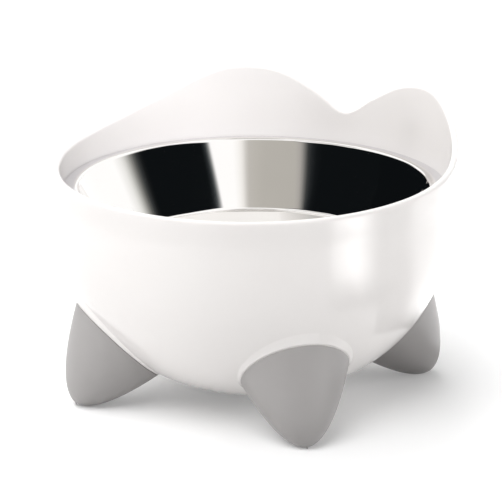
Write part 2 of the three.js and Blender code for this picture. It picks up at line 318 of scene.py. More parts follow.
def rim_height(angle):
    """Top of the rim at angles in radians: low at the front, with an ear on each side of the back.

    A smooth curve through the rises at the rim's angles, level at the front and at the back."""
    x = np.abs((np.degrees(angle) + 180) % 360 - 180)
    stations, values = np.array(RIM_ANGLES, float), np.array(RIM_RISES)
    slopes = np.zeros(len(values))
    slopes[1:-1] = (values[2:] - values[:-2]) / (stations[2:] - stations[:-2])
    i = np.clip(np.searchsorted(stations, x, side="left") - 1, 0, len(values) - 2)
    span = stations[i + 1] - stations[i]
    t = (x - stations[i]) / span
    share = (values[i] + (values[i + 1] - values[i]) * t * t * (3 - 2 * t)
             + span * (t * (1 - t) ** 2 * slopes[i] + t * t * (t - 1) * slopes[i + 1]))
    return WIDEST_HEIGHT + FRONT_RISE + EAR_RISE * share


def leg_cone(along):
    """Radius of a leg at a height up it."""
    return LEG_RADIUS * (along / LEG_REACH) ** LEG_TAPER


def on_leg(turn, radius, along, angle=0.0):
    """Points round the leg at an angle, from turn, distance off its axis and height up the leg."""
    out, side = radius * np.cos(turn), radius * np.sin(turn)
    forward = LEG_TIP_RADIUS + out * math.cos(LEG_LEAN) - along * math.sin(LEG_LEAN)
    height = LEG_TIP_HEIGHT + out * math.sin(LEG_LEAN) + along * math.cos(LEG_LEAN)
    x = side * math.cos(angle) + forward * math.sin(angle)
    y = side * math.sin(angle) - forward * math.cos(angle)
    return np.stack(np.broadcast_arrays(x, y, height), -1)


def meet_bowl(turn, radius_at, offset):
    """How far up the leg a line at each turn meets the bowl curve grown by offset."""
    low, high = np.full(turn.shape, 0.001 * MM), np.full(turn.shape, LEG_REACH)
    for _ in range(HALVINGS):
        middle = (low + high) / 2
        out = outside_bowl(on_leg(turn, radius_at(middle), middle), offset)
        low, high = np.where(out, middle, low), np.where(out, high, middle)
    return low


def brow(turn):
    """How much of the brow shows: all of it above the foot, none below."""
    return ((1 + np.cos(turn)) / 2) ** 2


def foot_rise(turn, share=1.0):
    """Height of the foot's upper face over the bowl curve, at a share of the way out."""
    edge = FOOT_LOW_RISE + (FOOT_TOP_RISE - FOOT_LOW_RISE) * brow(turn)
    middle = (FOOT_TOP_RISE + FOOT_LOW_RISE) / 2
    return middle + (edge - middle) * share


def leg_ring(turn, share, spread, offset, angle):
    """Ring round a leg on the bowl curve grown by offset, its cone narrowed and spread."""
    def radius_at(along):
        return share * (leg_cone(along) + spread)

    along = meet_bowl(turn, radius_at, offset)
    return on_leg(turn, radius_at(along), along, angle)


def pipe_ring(turn, radius, offset, angle):
    """Ring round a leg's axis where a pipe of one radius meets the bowl curve grown by offset."""
    along = meet_bowl(turn, lambda along: radius, offset)
    return on_leg(turn, radius, along, angle)


def mesh_piece(name, points, faces, finish):
    """A smooth mesh object with its doubles merged and its faces pointing outwards."""
    mesh = bpy.data.meshes.new(name)
    mesh.from_pydata(np.asarray(points).tolist(), [], faces)
    work = bmesh.new()
    work.from_mesh(mesh)
    bmesh.ops.remove_doubles(work, verts=work.verts, dist=MERGE)
    bmesh.ops.dissolve_degenerate(work, edges=work.edges, dist=MERGE)
    bmesh.ops.recalc_face_normals(work, faces=work.faces)
    work.to_mesh(mesh)
    work.free()
    mesh.materials.append(finish)
    mesh.polygons.foreach_set("use_smooth", [True] * len(mesh.polygons))
    return new_object(name, mesh)


def ring_faces(rings, count, start=0):
    """Quads between each ring of points and the next."""
    faces = []
    for row in range(rings - 1):
        a, b = start + row * count, start + (row + 1) * count
        for step in range(count):
            after = (step + 1) % count
            faces.append((a + step, a + after, b + after, b + step))
    return faces


# Housing

def down_the_bowl(offset):
    """Even turns from the widest level to the underside's flat, the share of the way down at each,
    and the whole way's length."""
    turns = np.linspace(0, bowl_turn(UNDERSIDE_FLAT_RADIUS, offset), BOWL_STEPS)
    radius, height = bowl_curve(turns, offset)
    way = np.concatenate([[0], np.cumsum(np.hypot(np.diff(radius), np.diff(height)))])
    return turns, way / way[-1], way[-1]


def bowl_points(angle, share, offset):
    """Points at shares of the way down the bowl curve grown by offset."""
    turns, shares, _ = down_the_bowl(offset)
    radius, height = bowl_curve(np.interp(share, shares, turns), offset)
    return around(radius, angle, height)


def share_down(points, offset):
    """How much of the way down the bowl points on it are."""
    turns, shares, _ = down_the_bowl(offset)
    turn = bowl_turn(np.hypot(points[..., 0], points[..., 1]), offset)
    return np.interp(turn, turns, shares)


def quarter_edge(first, last):
    """Angle and share down of points round the edge of a quarter of the bowl."""
    across = np.linspace(first, last, TOP_COUNT + 1)
    down = np.linspace(0, 1, SIDE_COUNT + 1)
    angle = np.concatenate([across[:-1], np.full(SIDE_COUNT, last), across[:0:-1],
                            np.full(SIDE_COUNT, first)])
    share = np.concatenate([np.zeros(TOP_COUNT), down[:-1], np.ones(TOP_COUNT), down[:0:-1]])
    return angle, share


def leg_quarter(leg_angle, first, last):
    """Rings of a quarter of the housing: outside, boss, screw hole and pocket, then inside."""
    edge_angle, edge_share = quarter_edge(first, last)
    fine = np.linspace(-math.pi, 2 * math.pi, 3 * TURN_STEPS + 1)
    root = leg_ring(fine, 1.0, boss_spread(fine), 0.0, 0.0)
    middle = on_leg(np.zeros(1), 0.0, meet_bowl(np.zeros(1), lambda along: 0.0, 0.0))[0]
    middle_share = share_down(middle[None], 0.0)[0]
    scale = math.hypot(middle[0], middle[1])
    length = down_the_bowl(0.0)[2]

    def bearing(angle, share):
        """Direction of a point from the leg's middle, on the bowl laid flat."""
        return np.arctan2(angle * scale, (middle_share - share) * length)

    root_bearing = np.unwrap(bearing(np.arctan2(root[:, 0], -root[:, 1]), share_down(root, 0.0)))
    root_bearing -= 2 * math.pi * round(root_bearing[TURN_STEPS] / (2 * math.pi))
    wanted = np.unwrap(bearing(edge_angle - leg_angle, edge_share))
    turn = np.interp(wanted, root_bearing, fine)

    rings = []

    def stretch(loop, offset, count, ease, outwards):
        """Rings between a loop round the leg and the edge of the quarter, closest at the loop."""
        loop_angle = np.unwrap(np.arctan2(loop[:, 0], -loop[:, 1]) - leg_angle)
        loop_angle += leg_angle - 2 * math.pi * np.round(np.mean(loop_angle) / (2 * math.pi))
        loop_share = share_down(loop, offset)
        shares = (np.arange(1, count + 1) / count) ** ease
        for t in (shares if outwards else shares[::-1]):
            rings.append(bowl_points(loop_angle + (edge_angle - loop_angle) * t,
                                     loop_share + (edge_share - loop_share) * t, offset))

    rise = foot_rise(turn) - BOSS_GAP
    spread = boss_spread(turn)
    outer_loop = leg_ring(turn, 1.0, spread, 0.0, leg_angle)
    stretch(outer_loop, 0.0, count=20, ease=1.35, outwards=False)
    rings.append(leg_ring(turn, 1.0, spread + BROW_CREASE, 0.0, leg_angle))
    for fall in (1.0, 0.97, 0.82, 0.66, 0.48, 0.3, 0.12, 0.03):
        reach = fall ** BROW_HOLLOW + BROW_SWELL * max(0.0, fall - BROW_SWELL_FROM) * (1 - fall)
        rings.append(leg_ring(turn, 1.0, spread * reach, rise * (1 - fall), leg_angle))
    for bend in (0.0, 0.5, 1.0):
        inset = BOSS_EDGE * (1 - math.cos(bend * math.pi / 2))
        lift = BOSS_EDGE * (1 - math.sin(bend * math.pi / 2))
        rings.append(leg_ring(turn, 1.0, -inset, rise - lift, leg_angle))
    for share in (0.9, 0.72, 0.52, 0.32, 0.16):
        rings.append(leg_ring(turn, share, 0.0, foot_rise(turn, share) - BOSS_GAP, leg_angle))
    rings.append(pipe_ring(turn, HOLE_RADIUS, foot_rise(turn, 0.05) - BOSS_GAP, leg_angle))
    rings.append(on_leg(turn, HOLE_RADIUS, SCREW_SEAT, leg_angle))
    rings.append(on_leg(turn, POCKET_RADIUS, SCREW_SEAT, leg_angle))
    rings.append(pipe_ring(turn, POCKET_RADIUS, -WALL + POCKET_EDGE_DEPTH, leg_angle))
    inner_loop = pipe_ring(turn, POCKET_RADIUS + POCKET_EDGE_WIDTH, -WALL, leg_angle)
    rings.append(inner_loop)
    stretch(inner_loop, -WALL, count=18, ease=1.5, outwards=True)
    return np.array(rings)


def boss_spread(turn):
    """How far a boss flares out where it leaves the bowl."""
    return BOSS_LOW_FLARE + (BOSS_TOP_FLARE - BOSS_LOW_FLARE) * brow(turn)


def housing():
    """The moulded shell: four quarters with a boss each, the upper wall with its rim, and the floor."""
    points, faces = [], []

    def add(rings):
        """Adds rings of points and the faces between them."""
        start = sum(len(p) for p in points)
        faces.extend(ring_faces(len(rings), rings.shape[1], start))
        points.append(rings.reshape(-1, 3))

    quarter = math.pi / 2
    for leg_angle, first in ((FRONT_LEG_ANGLE, 0), (-FRONT_LEG_ANGLE, -quarter),
                             (BACK_LEG_ANGLE, quarter), (-BACK_LEG_ANGLE, -2 * quarter)):
        add(leg_quarter(leg_angle, first, first + quarter))

    angle = np.linspace(0, 2 * math.pi, 4 * TOP_COUNT, endpoint=False)
    lip = WALL / 2
    lip_height = rim_height(angle) - lip
    rings = []
    for row in range(WALL_ROWS + 1):
        height = WIDEST_HEIGHT + (lip_height - WIDEST_HEIGHT) * row / WALL_ROWS
        rings.append(around(upper_radius(height), angle, height))
    for step in range(1, LIP_STEPS):
        turn = math.pi * step / LIP_STEPS
        middle = upper_radius(lip_height) - lip
        rings.append(around(middle + lip * math.cos(turn), angle,
                            lip_height + lip * math.sin(turn)))
    for row in range(WALL_ROWS, -1, -1):
        height = WIDEST_HEIGHT + (lip_height - WIDEST_HEIGHT) * row / WALL_ROWS
        rings.append(around(upper_radius(height) - WALL, angle, height))
    add(np.array(rings))

    # Underside and inside floor, each with its flat closed to a small disc
    for offset in (0.0, -WALL):
        _, height = bowl_curve(bowl_turn(UNDERSIDE_FLAT_RADIUS, offset), offset)
        disc = [around(UNDERSIDE_FLAT_RADIUS * share, angle, height)
                for share in (1, 0.7, 0.4, 0.15)]
        add(np.array(disc))
        start = sum(len(p) for p in points) - len(angle)
        faces.append(tuple(range(start, start + len(angle))))
    return mesh_piece("housing", np.concatenate(points), faces, ABS)


# Feet

def foot(name, leg_angle):
    """A rounded rubber cone with a flat pad, closed by the face that meets its boss."""
    turn = np.linspace(0, 2 * math.pi, FOOT_COUNT, endpoint=False)
    top = meet_bowl(turn, leg_cone, foot_rise(turn))
    rings = []
    for row in range(1, FOOT_ROWS + 1):
        along = (top - FOOT_EDGE) * (row / FOOT_ROWS) ** 2
        rings.append(on_leg(turn, leg_cone(along), along, leg_angle))
    for bend in (0.35, 0.7, 1.0):
        inset = FOOT_EDGE * (1 - math.cos(bend * math.pi / 2))
        along = top - FOOT_EDGE + FOOT_EDGE * math.sin(bend * math.pi / 2)
        rings.append(on_leg(turn, leg_cone(along) - inset, along, leg_angle))
    for share in (0.9, 0.6, 0.3):
        rings.append(leg_ring(turn, share, 0.0, foot_rise(turn, share), leg_angle))
    rings.append(pipe_ring(turn, HOLE_RADIUS, foot_rise(turn, 0.05), leg_angle))
    rings.append(on_leg(turn, HOLE_RADIUS, HOLE_END, leg_angle))
    points = np.array(rings).reshape(-1, 3)
    # The tip is cut flat where it stands on the ground
    points[:, 2] = np.maximum(points[:, 2], 0)
    faces = ring_faces(len(rings), FOOT_COUNT)
    ends = np.concatenate([on_leg(np.zeros(1), 0.0, along, leg_angle) for along in (0.0, HOLE_END)])
    ends[0, 2] = 0
    tip, hole_end = len(points), len(points) + 1
    last = (len(rings) - 1) * FOOT_COUNT
    for step in range(FOOT_COUNT):
        after = (step + 1) % FOOT_COUNT
        faces.append((tip, after, step))
        faces.append((hole_end, last + step, last + after))
    return mesh_piece(name, np.concatenate([points, ends]), faces, RUBBER)


# Pieces made by a node tree

def node_tree(name, sizes):
    """A geometry tree with a named input for each size; gives the tree and its input sockets."""
    tree = bpy.data.node_groups.new(name, "GeometryNodeTree")
    for label, value in sizes.items():
        kind = "NodeSocketInt" if isinstance(value, int) else "NodeSocketFloat"
        tree.interface.new_socket(label, in_out="INPUT", socket_type=kind)
    tree.interface.new_socket("Geometry", in_out="OUTPUT", socket_type="NodeSocketGeometry")
    return tree, node(tree, "NodeGroupInput").outputs


def sums(tree):
    """Short ways to work with numbers in a tree: any sum by its name, then the common ones."""
    def number(operation, *values):
        return node(tree, "ShaderNodeMath", dict(enumerate(values)),
                    operation=operation).outputs["Value"]

    return number, *[partial(number, operation)
                     for operation in ("ADD", "SUBTRACT", "MULTIPLY", "DIVIDE", "POWER")]


def drawing(tree):
    """Short ways to place points in a tree and to draw and turn a line."""
    _, _, less, times, *_ = sums(tree)

    def vector(x=0.0, y=0.0, z=0.0):
        return node(tree, "ShaderNodeCombineXYZ", {"X": x, "Y": y, "Z": z}).outputs["Vector"]

    def by_index(kind, values, index=None):
        """The value of each point, from a list of values."""
        pick = node(tree, "GeometryNodeIndexSwitch", data_type=kind)
        while len(pick.index_switch_items) < len(values):
            pick.index_switch_items.new()
        tree.links.new(index or node(tree, "GeometryNodeInputIndex").outputs[0],
                       pick.inputs["Index"])
        for i, value in enumerate(values):
            if isinstance(value, bpy.types.NodeSocket):
                tree.links.new(value, pick.inputs[i + 1])
            else:
                pick.inputs[i + 1].default_value = value
        return pick.outputs["Output"]

    def line(points):
        """An open line through points, each a vector."""
        run = node(tree, "GeometryNodeMeshLine", {"Count": len(points)})
        placed = node(tree, "GeometryNodeSetPosition", {
            "Geometry": run.outputs["Mesh"], "Position": by_index("VECTOR", points)})
        return node(tree, "GeometryNodeMeshToCurve", {
            "Mesh": placed.outputs["Geometry"]}).outputs["Curve"]

    def rounded(curve, radii, steps):
        """The same line with its corners rounded, each by its own radius."""
        return node(tree, "GeometryNodeFilletCurve", {
            "Curve": curve, "Count": steps, "Radius": by_index("FLOAT", radii)},
            mode="POLY").outputs["Curve"]

    def turned(curve, steps):
        """The line, drawn as radius and height, turned about +Z: swept along a circle of 1 m."""
        apart = node(tree, "ShaderNodeSeparateXYZ", {
            "Vector": node(tree, "GeometryNodeInputPosition").outputs[0]})
        moved = node(tree, "GeometryNodeSetPosition", {"Geometry": curve, "Position": vector(
            less(apart.outputs["X"], 1.0), times(apart.outputs["Y"], -1.0))})
        circle = node(tree, "GeometryNodeCurvePrimitiveCircle", {
            "Resolution": steps, "Radius": 1.0})
        swept = node(tree, "GeometryNodeCurveToMesh", {
            "Curve": circle.outputs["Curve"], "Profile Curve": moved.outputs["Geometry"]})
        return node(tree, "GeometryNodeMergeByDistance", {
            "Geometry": swept.outputs["Mesh"], "Distance": MERGE}).outputs["Geometry"]

    return vector, by_index, line, rounded, turned


def joined(tree, *parts):
    """Geometries in one."""
    both = node(tree, "GeometryNodeJoinGeometry")
    for part in parts:
        tree.links.new(part, both.inputs["Geometry"])
    return both.outputs["Geometry"]


def thickened(tree, sheet, thickness, distance, single=False):
    """A closed body from a sheet of many faces or a single one, its points merged in a distance."""
    thick = node(tree, "GeometryNodeExtrudeMesh", {
        "Mesh": sheet, "Offset Scale": thickness, "Individual": single})
    flipped = node(tree, "GeometryNodeFlipFaces", {"Mesh": sheet})
    return node(tree, "GeometryNodeMergeByDistance", {
        "Geometry": joined(tree, thick.outputs["Mesh"], flipped.outputs["Mesh"]),
        "Distance": distance}).outputs["Geometry"]


def finish_tree(tree, geometry, finish):
    """Ends a tree with its instances made real and its finish set."""
    real = node(tree, "GeometryNodeRealizeInstances", {"Geometry": geometry})
    dressed = node(tree, "GeometryNodeSetMaterial", {
        "Geometry": real.outputs["Geometry"], "Material": finish})
    node(tree, "NodeGroupOutput", {"Geometry": dressed.outputs["Geometry"]})


def piece_from_tree(name, tree, sizes, sharp_angle=None, bevel=None):
    """Runs a tree on an empty mesh with its sizes set, and keeps the result as a plain mesh.

    It is smooth all over, or smooth with edges sharp from an angle; an angle of 0 leaves it flat."""
    made = new_object(name, bpy.data.meshes.new(name))
    modifier = made.modifiers.new("shape", "NODES")
    modifier.node_group = tree
    for socket in tree.interface.items_tree:
        if socket.in_out == "INPUT":
            modifier[socket.identifier] = sizes[socket.name]
    if bevel:
        rounding = made.modifiers.new("edges", "BEVEL")
        rounding.width, rounding.segments, rounding.limit_method = bevel, 2, "ANGLE"
    evaluated = made.evaluated_get(bpy.context.evaluated_depsgraph_get())
    mesh = bpy.data.meshes.new_from_object(evaluated)
    made.modifiers.clear()
    made.data = mesh
    mesh.name = name
    work = bmesh.new()
    work.from_mesh(mesh)
    bmesh.ops.remove_doubles(work, verts=work.verts, dist=FINE_MERGE)
    bmesh.ops.recalc_face_normals(work, faces=work.faces)
    work.to_mesh(mesh)
    work.free()
    mesh.polygons.foreach_set("use_smooth", [sharp_angle != 0] * len(mesh.polygons))
    if sharp_angle:
        mesh.set_sharp_from_angle(angle=sharp_angle)
    return made


def steel_dish():
    """The dish is one line, its corners rounded, turned and given the thickness of its sheet."""
    sizes = {
        "Floor Radius": DISH_FLOOR_RADIUS, "Depth": DISH_DEPTH, "Corner Radius": DISH_CORNER,
        "Bend Height": BEND_HEIGHT, "Bend Radius": BEND_RADIUS, "Flange Radius": FLANGE_RADIUS,
        "Flange Width": FLANGE_WIDTH, "Flange Fall": FLANGE_FALL, "Hem Drop": HEM_DROP,
        "Hem Corner": HEM_CORNER, "Thickness": DISH_THICKNESS, "Steps": 256,
    }
    tree, size = node_tree("turned_dish", sizes)
    number, plus, less, times, over, _ = sums(tree)
    vector, _, line, rounded, turned = drawing(tree)
    floor = less(size["Bend Height"], size["Depth"])
    bend_x = less(size["Flange Radius"], size["Flange Width"])
    bend_y = less(size["Bend Height"], size["Bend Radius"])
    corner_y = plus(floor, size["Corner Radius"])
    run = less(bend_x, size["Floor Radius"])
    rise = less(bend_y, corner_y)
    between = number("SQRT", plus(times(run, run), times(rise, rise)))
    swing = number("ARCSINE", over(plus(size["Corner Radius"], size["Bend Radius"]), between))
    slope = plus(number("ARCTAN2", rise, run), swing)
    sine, cosine = number("SINE", slope), number("COSINE", slope)
    # Where the wall's line crosses the floor's
    foot_x = plus(size["Floor Radius"], times(size["Corner Radius"], sine))
    foot_y = less(corner_y, times(size["Corner Radius"], cosine))
    tangent = over(sine, cosine)
    cross_x = less(foot_x, over(less(foot_y, floor), tangent))
    # The flange's line, and where the wall's line crosses it
    steep = number("SQRT", plus(times(size["Flange Fall"], size["Flange Fall"]), 1.0))
    crown = plus(bend_y, times(size["Bend Radius"], steep))
    level = plus(crown, times(size["Flange Fall"], bend_x))
    top_x = over(plus(less(level, floor), times(tangent, cross_x)),
                 plus(tangent, size["Flange Fall"]))
    top_y = less(level, times(size["Flange Fall"], top_x))
    edge_y = less(level, times(size["Flange Fall"], size["Flange Radius"]))
    hem_y = less(edge_y, size["Hem Drop"])
    drawn = line([vector(0.0, floor), vector(cross_x, floor), vector(top_x, top_y),
                  vector(size["Flange Radius"], edge_y), vector(size["Flange Radius"], hem_y)])
    radii = [0.0, size["Corner Radius"], size["Bend Radius"], size["Hem Corner"], 0.0]
    inside = turned(rounded(drawn, radii, steps=9), size["Steps"])
    finish_tree(tree, thickened(tree, inside, size["Thickness"], FINE_MERGE), STEEL)
    return piece_from_tree("dish", tree, sizes)


def foot_screws():
    """Pan-head screws with a six-sided recess and a rolled thread, one down each leg."""
    sizes = {
        "Head Radius": HEAD_RADIUS, "Head Height": HEAD_HEIGHT, "Shank Radius": SCREW_RADIUS,
        "Length": SCREW_LENGTH, "Seat": SCREW_SEAT, "Head Gap": HEAD_GAP, "Recess Radius": 1.1 * MM,
        "Recess Depth": 1.0 * MM, "Thread Pitch": 1.25 * MM, "Thread Depth": 0.22 * MM,
        "Thread Runout": 1.2 * MM, "Edge Radius": 0.1 * MM,
        "Leg Lean": LEG_LEAN, "Front Leg Angle": FRONT_LEG_ANGLE, "Back Leg Angle": BACK_LEG_ANGLE,
        "Tip Radius": LEG_TIP_RADIUS, "Tip Height": LEG_TIP_HEIGHT, "Steps": 32,
    }
    tree, size = node_tree("screws_down_the_legs", sizes)
    number, plus, less, times, over, _ = sums(tree)
    vector, by_index, line, rounded, turned = drawing(tree)
    seat = plus(size["Seat"], size["Head Gap"])
    top = plus(seat, size["Head Height"])
    tip = less(size["Seat"], size["Length"])
    waist = plus(tip, size["Shank Radius"])
    drawn = line([vector(0.0, tip), vector(times(size["Shank Radius"], TIP_SHARE), tip),
                  vector(size["Shank Radius"], waist), vector(size["Shank Radius"], seat),
                  vector(size["Head Radius"], seat),
                  vector(times(size["Head Radius"], HEAD_TOP_SHARE), top), vector(0.0, top)])
    round_head = times(size["Head Height"], HEAD_ROUNDING)
    radii = [0.0, 0.0, 0.0, size["Edge Radius"], size["Edge Radius"], round_head, 0.0]
    body = turned(rounded(drawn, radii, steps=5), size["Steps"])
    recess = node(tree, "GeometryNodeMeshCylinder", {
        "Vertices": 6, "Radius": size["Recess Radius"], "Depth": times(size["Recess Depth"], 2.0)})
    sunk = node(tree, "GeometryNodeTransform", {
        "Geometry": recess.outputs["Mesh"], "Translation": vector(0.0, 0.0, top)})
    head = node(tree, "GeometryNodeMeshBoolean", {"Mesh 1": body,
                "Mesh 2": sunk.outputs["Geometry"]}, operation="DIFFERENCE", solver="EXACT")
    thread_length = less(less(seat, waist), size["Thread Runout"])
    helix = node(tree, "GeometryNodeCurveSpiral", {
        "Resolution": 24, "Rotations": over(thread_length, size["Thread Pitch"]),
        "Start Radius": size["Shank Radius"], "End Radius": size["Shank Radius"],
        "Height": thread_length})
    tooth = node(tree, "GeometryNodeCurvePrimitiveCircle", {
        "Resolution": 4, "Radius": size["Thread Depth"]})
    wound = node(tree, "GeometryNodeCurveToMesh", {
        "Curve": helix.outputs["Curve"], "Profile Curve": tooth.outputs["Curve"],
        "Fill Caps": True})
    thread = node(tree, "GeometryNodeTransform", {
        "Geometry": wound.outputs["Mesh"], "Translation": vector(0.0, 0.0, waist)})
    screw = joined(tree, head.outputs["Mesh"], thread.outputs["Geometry"])

    def minus(value):
        return times(value, -1.0)

    angle = by_index("FLOAT", [size["Front Leg Angle"], minus(size["Front Leg Angle"]),
                               size["Back Leg Angle"], minus(size["Back Leg Angle"])])
    spots = node(tree, "GeometryNodePoints", {"Count": 4, "Position": vector(
        times(size["Tip Radius"], number("SINE", angle)),
        minus(times(size["Tip Radius"], number("COSINE", angle))),
        size["Tip Height"])})
    lean = node(tree, "FunctionNodeEulerToRotation", {"Euler": vector(
        0.0, minus(size["Leg Lean"]), less(angle, math.pi / 2))})
    placed = node(tree, "GeometryNodeInstanceOnPoints", {
        "Points": spots.outputs["Points"], "Instance": screw,
        "Rotation": lean.outputs["Rotation"]})
    finish_tree(tree, placed.outputs["Instances"], ZINC)
    return piece_from_tree("foot_screws", tree, sizes, sharp_angle=math.radians(35))


def dish_ribs():
    """Upright ribs that carry the dish's hem, evenly round the inside of the housing."""
    inner = FLANGE_RADIUS - FLANGE_WIDTH + DISH_THICKNESS + RIB_CLEARANCE
    crown = BEND_HEIGHT - BEND_RADIUS + BEND_RADIUS * math.hypot(1, FLANGE_FALL)
    top = crown + FLANGE_FALL * (FLANGE_RADIUS - FLANGE_WIDTH) - HEM_DROP - RIB_SEAT_GAP
    sizes = {
        "Rib Count": RIB_COUNT, "Rib Thickness": RIB_THICKNESS, "Inner Radius": inner,
        "Outer Radius": FLANGE_RADIUS + FLANGE_GAP + WALL / 2, "Top Level": top,
        "Top Fall": FLANGE_FALL, "Bowl Radius": BODY_RADIUS - WALL / 2,
        "Bowl Depth": BODY_DEPTH - WALL / 2, "Widest Height": WIDEST_HEIGHT,
        "Side Roundness": SIDE_ROUNDNESS, "Depth Roundness": DEPTH_ROUNDNESS, "Points": 14,
    }
    tree, size = node_tree("ribs_round_the_housing", sizes)
    number, plus, less, times, over, power = sums(tree)
    vector, by_index, *_ = drawing(tree)
    index = node(tree, "GeometryNodeInputIndex").outputs[0]
    last = less(size["Points"], 1.0)
    low_turn = number("ARCCOSINE", power(over(size["Inner Radius"], size["Bowl Radius"]),
                                         over(size["Side Roundness"], 2.0)))
    turn = times(low_turn, number("MAXIMUM", less(1.0, over(index, last)), 0.0))
    radius = times(size["Bowl Radius"],
                   power(number("COSINE", turn), over(2.0, size["Side Roundness"])))
    drop = power(number("SINE", turn), over(2.0, size["Depth Roundness"]))
    height = less(size["Widest Height"], times(size["Bowl Depth"], drop))

    def on_top(out):
        return vector(out, less(size["Top Level"], times(size["Top Fall"], out)))

    past = number("MAXIMUM", less(index, last), 0.0)
    corners = [vector(radius, height), on_top(size["Outer Radius"]), on_top(size["Inner Radius"])]
    outline = node(tree, "GeometryNodeSetPosition", {
        "Geometry": node(tree, "GeometryNodeMeshLine", {
            "Count": plus(size["Points"], 2.0)}).outputs["Mesh"],
        "Position": by_index("VECTOR", corners, past)})
    curve = node(tree, "GeometryNodeMeshToCurve", {"Mesh": outline.outputs["Geometry"]})
    loop = node(tree, "GeometryNodeSetSplineCyclic", {
        "Geometry": curve.outputs["Curve"], "Cyclic": True})
    face = node(tree, "GeometryNodeFillCurve", {"Curve": loop.outputs["Geometry"]}, mode="NGONS")
    centred = node(tree, "GeometryNodeTransform", {
        "Geometry": thickened(tree, face.outputs["Mesh"], size["Rib Thickness"], MERGE, single=True),
        "Translation": vector(0.0, 0.0, times(size["Rib Thickness"], -0.5))})
    upright = node(tree, "GeometryNodeTransform", {
        "Geometry": centred.outputs["Geometry"], "Rotation": (math.pi / 2, 0, 0)})
    share = over(plus(index, 0.5), size["Rib Count"])
    spin = node(tree, "FunctionNodeEulerToRotation", {
        "Euler": vector(0.0, 0.0, times(share, 2 * math.pi))})
    spots = node(tree, "GeometryNodePoints", {"Count": size["Rib Count"]})
    ribs = node(tree, "GeometryNodeInstanceOnPoints", {
        "Points": spots.outputs["Points"], "Instance": upright.outputs["Geometry"],
        "Rotation": spin.outputs["Rotation"]})
    finish_tree(tree, ribs.outputs["Instances"], ABS)
    return piece_from_tree("dish_ribs", tree, sizes, sharp_angle=0, bevel=RIB_BEVEL)


# Assembly
LEGS = {"front_right": FRONT_LEG_ANGLE, "front_left": -FRONT_LEG_ANGLE,
        "back_right": BACK_LEG_ANGLE, "back_left": -BACK_LEG_ANGLE}

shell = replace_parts(housing(), "housing_shell")
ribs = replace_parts(dish_ribs(), "housing_shell")
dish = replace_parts(steel_dish(), "steel_dish")
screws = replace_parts(foot_screws(),
                     *[f"foot_screw_{leg}" for leg in LEGS])
for leg, angle in LEGS.items():
    piece = foot(f"rubber_foot_{leg}", angle)
    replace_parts(piece, f"foot_{leg}")
    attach(piece, "housing")
for piece in (shell, ribs, screws):
    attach(piece, "housing")
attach(dish, "dish")


# Studio

def glow(name, stops, strength, fade):
    """A card's light: colours from one side of it to the other, and a soft start at its near end."""
    made, tree = bare_material(name)
    place = node(tree, "ShaderNodeSeparateXYZ", {
        "Vector": node(tree, "ShaderNodeTexCoord").outputs["UV"]})
    ramp = node(tree, "ShaderNodeValToRGB", {"Fac": place.outputs["X"]})
    while len(ramp.color_ramp.elements) < len(stops):
        ramp.color_ramp.elements.new(0.5)
    for element, (position, code) in zip(ramp.color_ramp.elements, stops):
        element.position, element.color = position, colour(code)
    start = node(tree, "ShaderNodeMapRange", {
        "Value": place.outputs["Y"], "From Min": -1e-3, "From Max": fade, "To Max": strength},
        interpolation_type="SMOOTHSTEP")
    light = node(tree, "ShaderNodeEmission", {
        "Color": ramp.outputs["Color"], "Strength": start.outputs["Result"]})
    node(tree, "ShaderNodeOutputMaterial", {"Surface": light.outputs["Emission"]})
    return made


def studio_card(name, rows, stops, strength=1.0, fade=0.0, columns=40):
    """A card that only reflections see. Each row of it is a near and a far point."""
    points, faces, maps = [], [], []
    for row, (near, far) in enumerate(rows):
        for column in range(columns + 1):
            across = column / columns
            points.append([n + (f - n) * across for n, f in zip(near, far)])
            maps.append((across, row / (len(rows) - 1)))
    for row in range(len(rows) - 1):
        a, b = row * (columns + 1), (row + 1) * (columns + 1)
        faces += [(a + i, a + i + 1, b + i + 1, b + i) for i in range(columns)]
    mesh = bpy.data.meshes.new(name)
    mesh.from_pydata(points, [], faces)
    uv = mesh.uv_layers.new(name="across")
    for loop in mesh.loops:
        uv.data[loop.index].uv = maps[loop.vertex_index]
    mesh.materials.append(glow(name, stops, strength, fade))
    card = new_object(name, mesh)
    card.visible_camera = card.visible_diffuse = card.visible_shadow = False
    card.visible_transmission = False
    return card


def bent_card(name, rows, stops, strength=1.0, fade=0.0):
    """The same, bent round the bowl. Each row is a distance, a height and two angles in degrees."""
    card = studio_card(name, [[(math.radians(angle), distance, height) for angle in angles]
                              for distance, height, *angles in rows], stops, strength, fade)
    for vertex in card.data.vertices:
        angle, distance, height = vertex.co
        vertex.co = (distance * math.sin(angle), -distance * math.cos(angle), height)


def shares(first, last, *stops):
    """Places of a card's colours, from angles in degrees."""
    return [((angle - first) / (last - first), code) for angle, code in stops]


def small_card(name, middle, side, rows, shade, strength=1.0):
    """An upright card of one shade, in millimetres; each row is a height and its two ends."""
    studio_card(name, [[(middle[0] * MM + side[0] * end * MM, middle[1] * MM + side[1] * end * MM,
                         height * MM) for end in ends] for height, *ends in rows],
                [(0, shade), (1, shade)], strength, columns=2)


